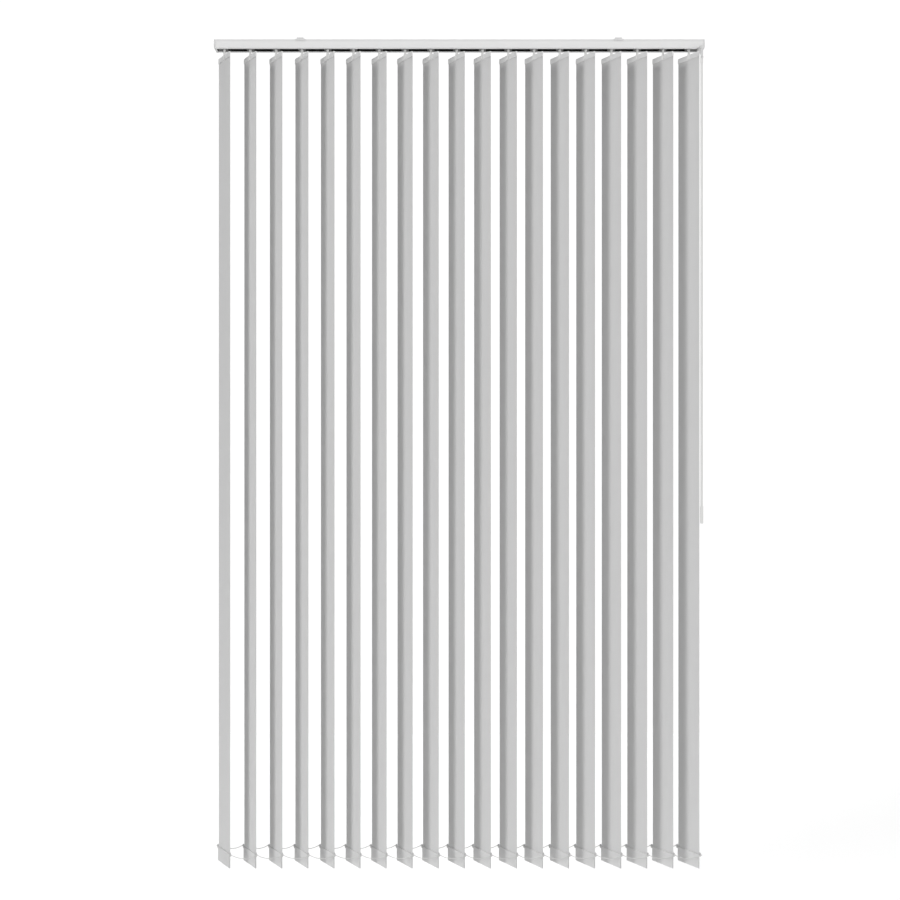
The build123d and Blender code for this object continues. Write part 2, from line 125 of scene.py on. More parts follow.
def choose(pieces):
    """Selects these pieces alone; the first is the active one."""
    deselect()
    for piece in pieces:
        piece.select_set(True)
    bpy.context.view_layer.objects.active = pieces[0]


def copied(piece, place):
    """A copy of a piece, with its own mesh, moved by place."""
    copy = piece.copy()
    copy.data = piece.data.copy()
    copy.location = piece.location + Vector(place)
    bpy.context.scene.collection.objects.link(copy)
    return copy


def finished(piece, name, finish):
    """Applies a piece's modifiers and place, smooths it and gives it its name and material."""
    choose([piece])
    for modifier in list(piece.modifiers):
        bpy.ops.object.modifier_apply(modifier=modifier.name)
    bpy.ops.object.transform_apply(location=True, rotation=True, scale=True)
    bpy.ops.object.shade_smooth_by_angle(angle=SMOOTH_UP_TO)
    piece.data.materials.clear()
    piece.data.materials.append(finish)
    piece.name = name
    return piece


def joined(pieces):
    """Several pieces as one."""
    choose(pieces)
    bpy.ops.object.join()
    return pieces[0]


def chain_material():
    """Moulded polyester: off-white and a little waxy, each bead a shade more or less glossy."""
    made, tree, surface, place = new_material("moulded_white_polyester", "#C3C3C2", 0.38)
    # The gloss changes over about 6 mm, from one bead or two to the next.
    mottle = add_node(
        tree, "ShaderNodeTexNoise", values={"Scale": 1 / BEAD_MOTTLE}, links={"Vector": place}
    )
    gloss = add_node(
        tree,
        "ShaderNodeMapRange",
        values={"To Min": 0.30, "To Max": 0.46},
        links={"Value": mottle.outputs["Fac"]},
    )
    tree.links.new(gloss.outputs["Result"], surface.inputs["Roughness"])
    return made


def bead_chain(name, start, finish):
    """One chain: its thread, its beads and the barrel at each vane."""
    points = []
    for i in range(VANE_COUNT - 1):
        for along, drop in LOOP:
            points.append(start + Vector((i * VANE_PITCH + along, 0, -drop * CHAIN_SAG)))
        points.append(start + Vector(((i + 1) * VANE_PITCH - LOOP_GAP, 0, 0)))
    curve = bpy.data.curves.new(name + "_route", "CURVE")
    curve.dimensions = "3D"
    curve.resolution_u = 6
    spline = curve.splines.new("NURBS")
    spline.points.add(len(points) - 1)
    for point, place in zip(spline.points, points):
        point.co = (*place, 1)
    spline.order_u = 3
    spline.use_endpoint_u = True
    route = bpy.data.objects.new(name + "_route", curve)
    bpy.context.scene.collection.objects.link(route)
    line_mesh = bpy.data.meshes.new_from_object(route)
    line = np.array([vertex.co for vertex in line_mesh.vertices])
    curve.bevel_depth = THREAD_RADIUS
    curve.bevel_resolution = 1
    curve.use_fill_caps = True
    choose([route])
    bpy.ops.object.convert(target="MESH")
    thread = bpy.context.object

    steps = np.linalg.norm(np.diff(line, axis=0), axis=1)
    along = np.concatenate([[0], np.cumsum(steps)])
    length = float(along[-1])
    count = round(length / BEAD_SPACING)
    deselect()
    bpy.ops.mesh.primitive_uv_sphere_add(segments=8, ring_count=6, radius=BEAD_RADIUS)
    bead = bpy.context.object
    bpy.ops.object.mode_set(mode="EDIT")
    bpy.ops.transform.resize(value=(1, 1, BEAD_HEIGHT))
    bpy.ops.object.mode_set(mode="OBJECT")
    parts = [thread]
    for at in (np.arange(count) + 0.5) * length / count:
        parts.append(copied(bead, [np.interp(at, along, line[:, k]) for k in range(3)]))
    bpy.data.objects.remove(bead)
    deselect()
    bpy.ops.mesh.primitive_cylinder_add(
        vertices=12,
        radius=BARREL_RADIUS,
        depth=BARREL_LENGTH,
        rotation=(0, math.radians(90), 0),
    )
    barrel = bpy.context.object
    bevel = barrel.modifiers.new("rims", "BEVEL")
    bevel.width = BARREL_RIM
    bevel.segments = 2
    choose([barrel])
    bpy.ops.object.modifier_apply(modifier="rims")
    for i in range(VANE_COUNT):
        parts.append(copied(barrel, start + Vector((i * VANE_PITCH, 0, 0))))
    bpy.data.objects.remove(barrel)

    chain = finished(joined(parts), name + "_beads", finish)
    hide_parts(name)
    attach(chain, name)
    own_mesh(chain)


bead_finish = chain_material()
for chain_name in ("front_chain", "back_chain"):
    low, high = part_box(chain_name)
    first_barrel = Vector((low.x + BARREL_LENGTH / 2, (low.y + high.y) / 2, CHAIN_Z))
    bead_chain(chain_name, first_barrel, bead_finish)

# Headrail: one extrusion of aluminium, powder coated white outside. Its inside is painted
# near-black as painted shade, so the slot along its underside reads as a black line.
RAIL_WALL = 0.0015
SKIN = 0.8 * RAIL_WALL
FRONT_LEAN = 0.0024
# Painted shade: the rail's coat is painted darker from the lower height up to the top.
PAINTED_SHADE_TOP = -0.005
PAINTED_SHADE_FOOT = -0.017
PEEL = 0.0012


def rail_material():
    """Polyester powder coat: satin, with orange peel; its inside and top edge carry painted shade.
    """
    made, tree, surface, place = new_material("white_powder_coat", "#D9D9D9", 0.42)
    low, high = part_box("headrail")
    axes = add_node(tree, "ShaderNodeSeparateXYZ", links={"Vector": place})
    # Painted shade: inside the walls the coat is painted near-black, for the shade in the rail's
    # hollow.
    inside = []
    for axis, least, most in (
        ("Y", low.y + FRONT_LEAN + SKIN, high.y - SKIN),
        ("Z", low.z + SKIN, high.z - SKIN),
    ):
        within = add_node(
            tree,
            "ShaderNodeMath",
            {"operation": "COMPARE"},
            {1: (least + most) / 2, 2: (most - least) / 2},
            {0: axes.outputs[axis]},
        )
        inside.append(within.outputs[0])
    painted_shade_mask = add_node(
        tree, "ShaderNodeMath", {"operation": "MULTIPLY"}, links={0: inside[0], 1: inside[1]}
    )
    # Painted shade: towards the top edge, and on the clips above it, the coat is painted a shade
    # darker.
    top_shade = add_node(
        tree,
        "ShaderNodeMapRange",
        values={"From Min": PAINTED_SHADE_FOOT, "From Max": PAINTED_SHADE_TOP},
        links={"Value": axes.outputs["Z"]},
    )
    shaded_coat = add_node(
        tree,
        "ShaderNodeMix",
        {"data_type": "RGBA"},
        {6: linear("#D9D9D9"), 7: linear("#C9C9C9")},
        {0: top_shade.outputs["Result"]},
    )
    # The near-black mixed in here is painted shade, not the coat's own colour.
    colour = add_node(
        tree,
        "ShaderNodeMix",
        {"data_type": "RGBA"},
        {7: linear("#0B0B0B")},
        {0: painted_shade_mask.outputs[0], 6: shaded_coat.outputs[2]},
    )
    tree.links.new(colour.outputs[2], surface.inputs["Base Color"])
    peel = add_node(
        tree, "ShaderNodeTexNoise", values={"Scale": 1 / PEEL}, links={"Vector": place}
    )
    bump = add_node(
        tree,
        "ShaderNodeBump",
        values={"Strength": 0.1, "Distance": 0.0001},
        links={"Height": peel.outputs["Fac"]},
    )
    tree.links.new(bump.outputs["Normal"], surface.inputs["Normal"])
    return made


def paint(finish, *names):
    """Gives CAD nodes, whose shape stays as it is, their material."""
    for name in names:
        slots = frame["nodes"][name].data.materials
        slots.clear()
        slots.append(finish)


rail_finish = rail_material()
paint(rail_finish, "headrail")

# End caps: moulded light grey ABS. Each is pushed into one end of the rail, closes it, and carries
# that end of the tilt rod in a bearing.
SPARK_GRAIN = 0.0009


def abs_material():
    """Moulded ABS: light grey, with the fine even grain of a spark-eroded mould."""
    made, tree, surface, place = new_material("light_grey_abs", "#C8C8C8", 0.5)
    grain = add_node(
        tree, "ShaderNodeTexNoise", values={"Scale": 1 / SPARK_GRAIN}, links={"Vector": place}
    )
    bump = add_node(
        tree,
        "ShaderNodeBump",
        values={"Strength": 0.15, "Distance": 0.0001},
        links={"Height": grain.outputs["Fac"]},
    )
    tree.links.new(bump.outputs["Normal"], surface.inputs["Normal"])
    return made


cap_finish = abs_material()
paint(cap_finish, "left_end_cap", "right_end_cap")

# Ceiling clips: folded spring steel, powder coated like the rail. Each is screwed to the ceiling
# through its hole, and the rail snaps into its two lips.
paint(rail_finish, "ceiling_clip_left", "ceiling_clip_right")

# Tilt rod: a fluted rod of drawn aluminium, as long as the rail. It turns in the end caps'
# bearings, and its flutes turn the carriers' worms, which slide along it.
DRAW_LINE = 0.0004
DRAW_STRETCH = 0.005


def drawn_aluminium():
    """Drawn aluminium: bright along its length, with fine lines from the die."""
    made, tree, surface, place = new_material("drawn_aluminium", "#D4D5D7", 0.3, Metallic=1.0)
    # The die's lines run along the rod, so the pattern is stretched 200 times along X.
    stretch = add_node(
        tree, "ShaderNodeMapping", values={"Scale": (DRAW_STRETCH, 1, 1)}, links={"Vector": place}
    )
    lines = add_node(
        tree,
        "ShaderNodeTexNoise",
        values={"Scale": 1 / DRAW_LINE},
        links={"Vector": stretch.outputs["Vector"]},
    )
    gloss = add_node(
        tree,
        "ShaderNodeMapRange",
        values={"To Min": 0.22, "To Max": 0.42},
        links={"Value": lines.outputs["Fac"]},
    )
    tree.links.new(gloss.outputs["Result"], surface.inputs["Roughness"])
    return made


paint(drawn_aluminium(), "tilt_rod")

# Carriers: moulded black acetal gliders inside the rail, one for each vane. Each holds a worm on
# the tilt rod, and a flat steel link in front of it sets the distance to the next one.
FLOW = 0.010
LINK_BACK = -0.0131
NECK_TOP = -0.0304


def acetal_material():
    """Black acetal, faintly glossy, with a dark steel link in front and a white neck bush."""
    made, tree, surface, place = new_material("black_acetal", "#141414", 0.35)
    axes = add_node(tree, "ShaderNodeSeparateXYZ", links={"Vector": place})
    below = None
    for axis, limit, code in (("Y", LINK_BACK, "#3A3B3D"), ("Z", NECK_TOP, "#E2E2E1")):
        past = add_node(
            tree, "ShaderNodeMath", {"operation": "LESS_THAN"}, {1: limit}, {0: axes.outputs[axis]}
        )
        colour = add_node(
            tree,
            "ShaderNodeMix",
            {"data_type": "RGBA"},
            {6: linear("#141414"), 7: linear(code)},
            {0: past.outputs[0]},
        )
        if below:
            tree.links.new(below, colour.inputs[6])
        below = colour.outputs[2]
    tree.links.new(below, surface.inputs["Base Color"])
    flow = add_node(
        tree, "ShaderNodeTexNoise", values={"Scale": 1 / FLOW}, links={"Vector": place}
    )
    gloss = add_node(
        tree,
        "ShaderNodeMapRange",
        values={"To Min": 0.28, "To Max": 0.45},
        links={"Value": flow.outputs["Fac"]},
    )
    tree.links.new(gloss.outputs["Result"], surface.inputs["Roughness"])
    return made


paint(acetal_material(), *[f"carrier_{i:02d}" for i in range(1, VANE_COUNT + 1)])

# Hooks: white acetal stems that hang in the carriers. A toothed wheel on the top is turned by
# the worm, and a fork under the collar takes the hanger on its peg.
STEMS = {j["child"]: j["pos_m"][0] for j in frame["joints"] if j["child"].startswith("vane_")}
REST_ANGLE = math.radians(57)
GEAR_TOP = -0.0115
GEAR_BOTTOM = -0.0175
GEAR_ROOT = 0.0038
TEETH = 12
TOOTH_DEPTH = 0.0010
JOURNAL_RADIUS = 0.0030
COLLAR_RADIUS = 0.0035
COLLAR_TOP = -0.0337
STEM_SIDES = 24
HANGER_TOP = -0.047
COLLAR_FOOT = HANGER_TOP + 0.0010
HOOK_WIDTH = 0.0070
HOOK_FRONT = -0.0033
HOOK_BACK = 0.0021
FORK_FRONT = -0.0020
FORK_BACK = 0.0008
FORK_TOP = HANGER_TOP + 0.0020
FORK_ROOF = HANGER_TOP + 0.0001
FORK_FOOT = -0.0600
FORK_TIP = FORK_FOOT - 0.0008
PEG_Z = -0.0499
PEG_RADIUS = 0.0016
MOULD_EDGE = 0.0003


def turned(profile, sides):
    """A round piece on the Z axis: a disc pulled upwards, its radius set at each step."""
    deselect()
    radius, z = profile[0]
    bpy.ops.mesh.primitive_circle_add(
        vertices=sides, radius=radius, fill_type="NGON", location=(0, 0, z)
    )
    bpy.ops.object.mode_set(mode="EDIT")
    bpy.ops.mesh.select_all(action="SELECT")
    for next_radius, next_z in profile[1:]:
        bpy.ops.mesh.extrude_region_move(TRANSFORM_OT_translate={"value": (0, 0, next_z - z)})
        share = next_radius / radius
        bpy.ops.transform.resize(value=(share, share, 1), center_override=(0, 0, next_z))
        radius, z = next_radius, next_z
    bpy.ops.mesh.select_all(action="SELECT")
    bpy.ops.mesh.normals_make_consistent(inside=False)
    bpy.ops.object.mode_set(mode="OBJECT")
    return bpy.context.object


def drawn(points, pull):
    """A plate: its outline is drawn point by point, filled, and pulled to its thickness."""
    deselect()
    bpy.ops.mesh.primitive_plane_add(size=0.001, location=points[0])
    bpy.ops.object.mode_set(mode="EDIT")
    bpy.ops.mesh.select_mode(type="VERT")
    bpy.ops.mesh.select_all(action="SELECT")
    bpy.ops.mesh.merge(type="CENTER")
    for before, after in zip(points, points[1:]):
        step = tuple(Vector(after) - Vector(before))
        bpy.ops.mesh.extrude_region_move(TRANSFORM_OT_translate={"value": step})
    bpy.ops.mesh.select_all(action="SELECT")
    bpy.ops.mesh.edge_face_add()
    bpy.ops.mesh.extrude_region_move(TRANSFORM_OT_translate={"value": pull})
    bpy.ops.mesh.select_all(action="SELECT")
    bpy.ops.mesh.normals_make_consistent(inside=False)
    bpy.ops.object.mode_set(mode="OBJECT")
    return bpy.context.object


def select_faces(piece, test):
    """Goes into edit mode with the faces selected that pass a test of centre and normal."""
    choose([piece])
    bpy.ops.object.mode_set(mode="EDIT")
    bpy.ops.mesh.select_mode(type="FACE")
    bpy.ops.mesh.select_all(action="DESELECT")
    bpy.ops.object.mode_set(mode="OBJECT")
    for face in piece.data.polygons:
        face.select = bool(test(piece.matrix_world @ face.center, face.normal))
    bpy.ops.object.mode_set(mode="EDIT")


def combine(piece, tool, operation):
    """Adds a tool's shape to a piece, or cuts it out, and removes the tool."""
    choose([piece])
    boolean = piece.modifiers.new("combine", "BOOLEAN")
    boolean.operation = operation
    boolean.object = tool
    boolean.solver = "EXACT"
    bpy.ops.object.modifier_apply(modifier="combine")
    bpy.data.objects.remove(tool)
    return piece


def softened(piece, width, segments=2):
    """Rounds a piece's sharp edges, as a mould does."""
    bevel = piece.modifiers.new("soft_edges", "BEVEL")
    bevel.width = width
    bevel.segments = segments
    bevel.limit_method = "ANGLE"
    bevel.angle_limit = math.radians(40)
    bevel.harden_normals = False
    choose([piece])
    bpy.ops.object.modifier_apply(modifier="soft_edges")
    return piece


def peg(radius, front, back):
    """A short round bar from front to back, level with the hook's peg."""
    deselect()
    bpy.ops.mesh.primitive_cylinder_add(
        vertices=20,
        radius=radius,
        depth=back - front,
        location=(0, (front + back) / 2, PEG_Z),
        rotation=(math.radians(90), 0, 0),
    )
    return bpy.context.object


def hook_pattern():
    """The wheel, journal and collar as one turned piece, with teeth and the fork added."""
    stem = turned(
        [
            (COLLAR_RADIUS, COLLAR_FOOT),
            (COLLAR_RADIUS, COLLAR_TOP),
            (JOURNAL_RADIUS, COLLAR_TOP),
            (JOURNAL_RADIUS, GEAR_BOTTOM),
            (GEAR_ROOT, GEAR_BOTTOM),
            (GEAR_ROOT, GEAR_TOP),
        ],
        STEM_SIDES,
    )
    select_faces(
        stem,
        lambda centre, normal: GEAR_BOTTOM < centre.z < GEAR_TOP
        and abs(normal.z) < 0.1
        and int(round(math.atan2(normal.y, normal.x) / math.tau * 2 * TEETH - 0.5)) % 2 == 0,
    )
    bpy.ops.mesh.extrude_region_shrink_fatten(TRANSFORM_OT_shrink_fatten={"value": TOOTH_DEPTH})
    bpy.ops.object.mode_set(mode="OBJECT")
    left = -HOOK_WIDTH / 2
    fork = drawn(
        [
            (left, HOOK_FRONT, FORK_FOOT),
            (left, HOOK_FRONT, FORK_TOP),
            (left, HOOK_BACK, FORK_TOP),
            (left, HOOK_BACK, FORK_FOOT),
            (left, FORK_BACK, FORK_TIP),
            (left, FORK_BACK, FORK_ROOF),
            (left, FORK_FRONT, FORK_ROOF),
            (left, FORK_FRONT, FORK_TIP),
        ],
        (HOOK_WIDTH, 0, 0),
    )
    softened(fork, MOULD_EDGE)
    fork = combine(fork, peg(PEG_RADIUS, HOOK_FRONT, HOOK_BACK), "UNION")
    return combine(stem, fork, "UNION")


def white_acetal():
    """Moulded acetal: white and slippery, with a soft highlight."""
    made, tree, surface, place = new_material("moulded_white_acetal", "#E2E2E1", 0.35)
    flow = add_node(
        tree, "ShaderNodeTexNoise", values={"Scale": 1 / FLOW}, links={"Vector": place}
    )
    gloss = add_node(
        tree,
        "ShaderNodeMapRange",
        values={"To Min": 0.28, "To Max": 0.44},
        links={"Value": flow.outputs["Fac"]},
    )
    tree.links.new(gloss.outputs["Result"], surface.inputs["Roughness"])
    return made


def hung(pattern, i, name):
    """A copy of a vane's part, turned to the rest angle and hung under carrier i."""
    body = f"vane_{i + 1:02d}"
    piece = copied(pattern, (STEMS[body], 0, 0))
    piece.rotation_euler = (0, 0, -REST_ANGLE)
    choose([piece])
    bpy.ops.object.transform_apply(location=True, rotation=True, scale=True)
    piece.name = f"{name}_{i + 1:02d}"
    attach(piece, body)
    return piece


acetal_white_finish = white_acetal()
hook = finished(hook_pattern(), "hook_pattern", acetal_white_finish)
for i in range(VANE_COUNT):
    hung(hook, i, "hook")
bpy.data.objects.remove(hook)

# Hangers: a moulded strip across the top of each vane. The fabric is gripped in a slot along its
# underside, and the hook's peg passes through a hole in its middle.
HANGER_WIDTH = 0.0902
HANGER_HEIGHT = 0.0155
HANGER_FRONT = -0.0019
HANGER_BACK = 0.0007
HANGER_CORNER = 0.0030
SLOT_WALL = 0.00095
SLOT_DEPTH = 0.0096
RIM_WIDTH = 0.0015
RIM_HEIGHT = 0.0004
HANGER_EDGE = 0.0002
HOLE_RADIUS = PEG_RADIUS + 0.0001


def hanger_pattern():
    """A strip with two rounded upper corners, a slot below, a hole and a raised rim."""
    half = HANGER_WIDTH / 2
    points = [(-half, HANGER_FRONT, HANGER_TOP - HANGER_HEIGHT)]
    for side, first in ((-1, 180), (1, 90)):
        for turn in (0, 30, 60, 90):
            angle = math.radians(first - turn)
            x = side * (half - HANGER_CORNER) + HANGER_CORNER * math.cos(angle)
            z = HANGER_TOP - HANGER_CORNER + HANGER_CORNER * math.sin(angle)
            points.append((x, HANGER_FRONT, z))
    points.append((half, HANGER_FRONT, HANGER_TOP - HANGER_HEIGHT))
    strip = drawn(points, (0, HANGER_BACK - HANGER_FRONT, 0))
    select_faces(strip, lambda centre, normal: normal.z < -0.9)
    bpy.ops.mesh.inset(thickness=SLOT_WALL)
    bpy.ops.mesh.extrude_region_move(TRANSFORM_OT_translate={"value": (0, 0, SLOT_DEPTH)})
    bpy.ops.object.mode_set(mode="OBJECT")
    select_faces(strip, lambda centre, normal: normal.y < -0.9)
    bpy.ops.mesh.inset(thickness=RIM_WIDTH)
    bpy.ops.mesh.extrude_region_move(TRANSFORM_OT_translate={"value": (0, RIM_HEIGHT, 0)})
    bpy.ops.object.mode_set(mode="OBJECT")
    softened(strip, HANGER_EDGE)
    return combine(strip, peg(HOLE_RADIUS, 2 * HANGER_FRONT, 3 * HANGER_BACK), "DIFFERENCE")


def hanger_material():
    """Moulded polycarbonate, milky: it takes a little of the fabric's grey."""
    made, tree, surface, place = new_material("milky_polycarbonate", "#DCDCDC", 0.3)
    flow = add_node(
        tree, "ShaderNodeTexNoise", values={"Scale": 1 / FLOW}, links={"Vector": place}
    )
    gloss = add_node(
        tree,
        "ShaderNodeMapRange",
        values={"To Min": 0.24, "To Max": 0.40},
        links={"Value": flow.outputs["Fac"]},
    )
    tree.links.new(gloss.outputs["Result"], surface.inputs["Roughness"])
    return made


hanger = finished(hanger_pattern(), "hanger_pattern", hanger_material())
for i in range(VANE_COUNT):
    hung(hanger, i, "hanger")
bpy.data.objects.remove(hanger)

# Vanes: one strip of light grey woven polyester each. Its foot is folded up at the front and
# welded along its edge, which makes the pocket for the weight.
VANE_WIDTH = 0.089
FABRIC = 0.0005
FABRIC_TOP = -0.0530
VANE_FOOT = -2.500
POCKET_DEPTH = 0.0033
POCKET_TOP = -2.4555
WELD_FOOT = -2.4575
WELD_BACK = -1.1 * FABRIC
WELD_RISE = 0.0008
# How the pocket's front closes at the weld: its share of the depth, and its rise.
POCKET_LIP = ((1.0, 0.0), (0.92, 0.0003), (0.60, 0.0006))
ROW_OVER_POCKET = 0.02
ROW_IN_BACK = 0.015
ROWS_IN_FRONT = (0.010, 0.020)
FOLD_STEPS = 6
ROW_STEP = 0.10
ROW_COUNT = 24
ACROSS = 6
THREAD_SPACING = 0.0007
# At a scale of 1 the wave texture repeats at this length.
WAVE = math.tau / 20
SLUB_WIDTH = 0.004
SLUB_STRETCH = 0.04


def fabric_line():
    """The strip's middle line from its top to the weld: across the fabric, then up."""
    fold = (POCKET_DEPTH - FABRIC) / 2
    bottom = VANE_FOOT + FABRIC / 2 + fold
    front = -2 * fold
    line = [(0, FABRIC_TOP - ROW_STEP * k) for k in range(ROW_COUNT)]
    line += [(0, POCKET_TOP + ROW_OVER_POCKET), (0, POCKET_TOP), (0, bottom + ROW_IN_BACK)]
    for step in range(FOLD_STEPS + 1):
        turn = math.radians(180 * step / FOLD_STEPS)
        line.append((-fold + fold * math.cos(turn), bottom - fold * math.sin(turn)))
    line += [(front, bottom + row) for row in ROWS_IN_FRONT]
    line += [(share * front, WELD_FOOT + rise) for share, rise in POCKET_LIP]
    return line + [(WELD_BACK, WELD_FOOT + WELD_RISE), (WELD_BACK, POCKET_TOP)]


def fabric_pattern(line):
    """A row of edges pulled down along the line, then given the cloth's thickness."""
    deselect()
    bpy.ops.mesh.primitive_grid_add(
        x_subdivisions=ACROSS,
        y_subdivisions=1,
        size=1,
        location=(0, 0, (line[0][1] + line[1][1]) / 2),
        rotation=(math.radians(90), 0, 0),
    )
    strip = bpy.context.object
    strip.scale = (VANE_WIDTH, line[0][1] - line[1][1], 1)
    bpy.ops.object.transform_apply(location=True, rotation=True, scale=True)
    bpy.ops.object.mode_set(mode="EDIT")
    bpy.ops.mesh.select_mode(type="EDGE")
    bpy.ops.mesh.select_all(action="DESELECT")
    bpy.ops.object.mode_set(mode="OBJECT")
    mesh = strip.data
    for edge in mesh.edges:
        edge.select = all(mesh.vertices[v].co.z < line[1][1] + 1e-5 for v in edge.vertices)
    bpy.ops.object.mode_set(mode="EDIT")
    for before, after in zip(line[1:], line[2:]):
        step = (0, after[0] - before[0], after[1] - before[1])
        bpy.ops.mesh.extrude_region_move(TRANSFORM_OT_translate={"value": step})
    bpy.ops.mesh.select_all(action="SELECT")
    bpy.ops.mesh.normals_make_consistent(inside=False)
    bpy.ops.object.mode_set(mode="OBJECT")
    cloth = strip.modifiers.new("cloth", "SOLIDIFY")
    cloth.thickness = FABRIC
    cloth.offset = 0
    return strip


def fabric_material():
    """Woven polyester: matt light grey, a plain weave with faint slubs along the warp."""
    made, tree, surface, place = new_material(
        "light_grey_woven_polyester", "#C9C9C9", 0.9, Sheen_Weight=0.08, Sheen_Roughness=0.5
    )
    # Across the vane, the vane's thickness, and along the drop.
    flat = add_node(
        tree,
        "ShaderNodeMapping",
        values={"Rotation": (0, 0, REST_ANGLE)},
        links={"Vector": place},
    )
    # Two neighbouring threads, one over and one under, make one wave.
    threads = []
    for direction in ("X", "Z"):
        wave = add_node(
            tree,
            "ShaderNodeTexWave",
            {"bands_direction": direction},
            {"Scale": WAVE / (2 * THREAD_SPACING), "Distortion": 0.6},
            {"Vector": flat.outputs["Vector"]},
        )
        threads.append(wave.outputs["Fac"])
    weave = add_node(
        tree, "ShaderNodeMath", {"operation": "ADD"}, links={0: threads[0], 1: threads[1]}
    )
    bump = add_node(
        tree,
        "ShaderNodeBump",
        values={"Strength": 0.25, "Distance": 0.0001},
        links={"Height": weave.outputs[0]},
    )
    tree.links.new(bump.outputs["Normal"], surface.inputs["Normal"])
    along = add_node(
        tree,
        "ShaderNodeMapping",
        values={"Scale": (1, 1, SLUB_STRETCH)},
        links={"Vector": flat.outputs["Vector"]},
    )
    slubs = add_node(
        tree,
        "ShaderNodeTexNoise",
        values={"Scale": 1 / SLUB_WIDTH, "Detail": 2},
        links={"Vector": along.outputs["Vector"]},
    )
    shade = add_node(
        tree,
        "ShaderNodeMix",
        {"data_type": "RGBA"},
        {6: linear("#C7C7C7"), 7: linear("#CBCBCB")},
        {0: slubs.outputs["Fac"]},
    )
    tree.links.new(shade.outputs[2], surface.inputs["Base Color"])
    return made


strip_line = fabric_line()
fabric = finished(fabric_pattern(strip_line), "fabric_pattern", fabric_material())
for i in range(VANE_COUNT):
    vane = hung(fabric, i, "fabric")
    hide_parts(f"vane_{i + 1:02d}")
bpy.data.objects.remove(fabric)

# Weights: a moulded plate in each pocket, which keeps the vane straight. The ear at each end
# stands out past the fabric, and the chains are held at its tip.
WEIGHT_HALF = 0.0443
WEIGHT_FRONT = -0.00245
WEIGHT_THICKNESS = 0.0021
WEIGHT_FOOT = -2.4994
WEIGHT_TOP = -2.4578
EAR_HALF = 0.0515
EAR_TOP = -2.451
EAR_FOOT = -2.463
EAR_STEP = 0.0447
EAR_CORNER = 0.0020
CORNER_MIDDLE = 0.3 * EAR_CORNER


def weight_pattern():
    """A plate with an ear at each end, its corners rounded."""
    right = [
        (WEIGHT_HALF, WEIGHT_FOOT),
        (WEIGHT_HALF, EAR_FOOT),
        (EAR_HALF - EAR_CORNER, EAR_FOOT),
        (EAR_HALF - CORNER_MIDDLE, EAR_FOOT + CORNER_MIDDLE),
        (EAR_HALF, EAR_FOOT + EAR_CORNER),
        (EAR_HALF, EAR_TOP - EAR_CORNER),
        (EAR_HALF - CORNER_MIDDLE, EAR_TOP - CORNER_MIDDLE),
        (EAR_HALF - EAR_CORNER, EAR_TOP),
        (EAR_STEP, EAR_TOP),
        (EAR_STEP, WEIGHT_TOP),
    ]
    left = [(-x, z) for x, z in reversed(right)]
    outline = [(x, WEIGHT_FRONT, z) for x, z in right + left]
    return softened(drawn(outline, (0, WEIGHT_THICKNESS, 0)), MOULD_EDGE)


def weight_material():
    """Moulded polypropylene, grey, with the flow of the melt as a faint change of gloss."""
    made, tree, surface, place = new_material("grey_polypropylene", "#B8B8B8", 0.5)
    flow = add_node(
        tree, "ShaderNodeTexNoise", values={"Scale": 1 / FLOW}, links={"Vector": place}
    )
    gloss = add_node(
        tree,
        "ShaderNodeMapRange",
        values={"To Min": 0.42, "To Max": 0.58},
        links={"Value": flow.outputs["Fac"]},
    )
    tree.links.new(gloss.outputs["Result"], surface.inputs["Roughness"])
    return made


weight = finished(weight_pattern(), "weight_pattern", weight_material())
for i in range(VANE_COUNT):
    hung(weight, i, "weight")
bpy.data.objects.remove(weight)

# Wand: a slim rod of white extruded PVC that hangs from a universal joint under the lead
# carrier's arm, with a moulded sleeve for the hand at its foot. The arm is ABS, and the joint's
# cross and the drive's core are zinc plated.
SPANGLE = 0.008
DIE_STRETCH = 0.01


def zinc_material():
    """Zinc plate: a pale grey metal, dull, with soft patches where the crystals lie."""
    made, tree, surface, place = new_material("zinc_plated_steel", "#DFE0E1", 0.45, Metallic=1.0)
    patches = add_node(
        tree, "ShaderNodeTexVoronoi", values={"Scale": 1 / SPANGLE}, links={"Vector": place}
    )
    gloss = add_node(
        tree,
        "ShaderNodeMapRange",
        values={"To Min": 0.32, "To Max": 0.52},
        links={"Value": patches.outputs["Distance"]},
    )
    tree.links.new(gloss.outputs["Result"], surface.inputs["Roughness"])
    return made


def wand_material():
    """Extruded PVC: white, smooth and glossy, with faint lines from the die along it."""
    made, tree, surface, place = new_material("extruded_white_pvc", "#D1D1D0", 0.3)
    stretch = add_node(
        tree, "ShaderNodeMapping", values={"Scale": (1, 1, DIE_STRETCH)}, links={"Vector": place}
    )
    lines = add_node(
        tree,
        "ShaderNodeTexNoise",
        values={"Scale": 1 / SPARK_GRAIN},
        links={"Vector": stretch.outputs["Vector"]},
    )
    gloss = add_node(
        tree,
        "ShaderNodeMapRange",
        values={"To Min": 0.24, "To Max": 0.40},
        links={"Value": lines.outputs["Fac"]},
    )
    tree.links.new(gloss.outputs["Result"], surface.inputs["Roughness"])
    return made


paint(wand_material(), "wand", "wand_grip", "wand_collar")
paint(zinc_material(), "wand_cross", "drive_core")
paint(cap_finish, "wand_arm")
paint(acetal_white_finish, "wand_stem")

# Floor and light: a plain white floor painted with a roller, a white surround, a soft key from the
# room's left, a fainter light from the window's side and a broad one from above.
FLOOR_Z = -2.9
FLOOR_SIZE = 7.0
STIPPLE_SCALE = 300
SEEN_WHITE = 1.05
ROOM_SLANT = (0.56, -0.12, -0.20)
FLOOR_LEVEL = 0.91
ROOM_LEVEL = 0.55
HORIZON_BLEND = -0.2


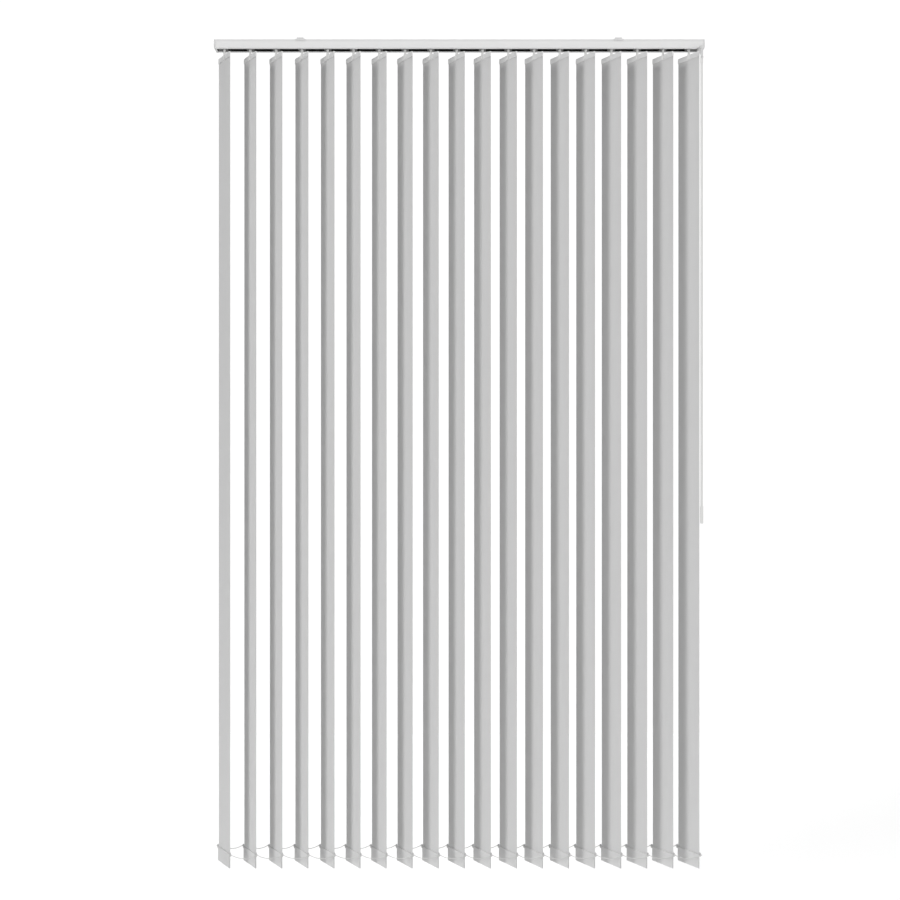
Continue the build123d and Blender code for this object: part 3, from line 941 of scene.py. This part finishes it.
def floor_material():
    """White matt paint, rolled: an even, faint stipple."""
    made, tree, surface, place = new_material("white_matt_paint", "#F7F7F7", 0.9)
    stipple = add_node(
        tree, "ShaderNodeTexNoise", values={"Scale": STIPPLE_SCALE}, links={"Vector": place}
    )
    bump = add_node(
        tree,
        "ShaderNodeBump",
        values={"Strength": 0.05, "Distance": 0.0005},
        links={"Height": stipple.outputs["Fac"]},
    )
    tree.links.new(bump.outputs["Normal"], surface.inputs["Normal"])
    return made


deselect()
bpy.ops.mesh.primitive_plane_add(size=FLOOR_SIZE, location=(0, 0, FLOOR_Z))
floor = bpy.context.object
floor.name = "floor"
floor.data.materials.append(floor_material())


def sun(name, direction, strength, softness):
    """A distant lamp that shines along a direction; softness is its width in degrees."""
    lamp = bpy.data.lights.new(name, "SUN")
    lamp.energy = strength
    lamp.angle = math.radians(softness)
    light = bpy.data.objects.new(name, lamp)
    light.rotation_mode = "QUATERNION"
    light.rotation_quaternion = Vector(direction).to_track_quat("-Z", "Y")
    bpy.context.scene.collection.objects.link(light)


sun("key", (0.70, 0.64, -0.30), 1.30, 20)
sun("window", (0.0, -0.90, -0.45), 0.8, 40)
sun("top", (0.0, 0.05, -1.0), 1.6, 30)

world = bpy.data.worlds.new("surround")
world.use_nodes = True
surround = world.node_tree
for old in list(surround.nodes):
    surround.nodes.remove(old)
seen = add_node(
    surround,
    "ShaderNodeBackground",
    values={"Color": (1, 1, 1, 1), "Strength": SEEN_WHITE},
)
way = add_node(surround, "ShaderNodeTexCoord")
shade = add_node(
    surround,
    "ShaderNodeVectorMath",
    {"operation": "DOT_PRODUCT"},
    {1: ROOM_SLANT},
    {0: way.outputs["Generated"]},
)
height = add_node(
    surround, "ShaderNodeSeparateXYZ", links={"Vector": way.outputs["Generated"]}
)
# Below the horizon the room is as bright as its floor, so the vanes don't fade towards the foot.
base = add_node(
    surround,
    "ShaderNodeMapRange",
    values={
        "From Min": HORIZON_BLEND,
        "From Max": 0.0,
        "To Min": FLOOR_LEVEL,
        "To Max": ROOM_LEVEL,
    },
    links={"Value": height.outputs["Z"]},
)
level = add_node(
    surround,
    "ShaderNodeMath",
    {"operation": "ADD"},
    links={0: base.outputs["Result"], 1: shade.outputs["Value"]},
)
lit = add_node(
    surround,
    "ShaderNodeBackground",
    values={"Color": (1, 1, 1, 1)},
    links={"Strength": level.outputs[0]},
)
ray = add_node(surround, "ShaderNodeLightPath")
mix = add_node(
    surround,
    "ShaderNodeMixShader",
    links={0: ray.outputs["Is Camera Ray"], 1: lit.outputs[0], 2: seen.outputs[0]},
)
add_node(surround, "ShaderNodeOutputWorld", links={"Surface": mix.outputs[0]})
bpy.context.scene.world = world
bpy.context.scene.view_settings.view_transform = "Standard"
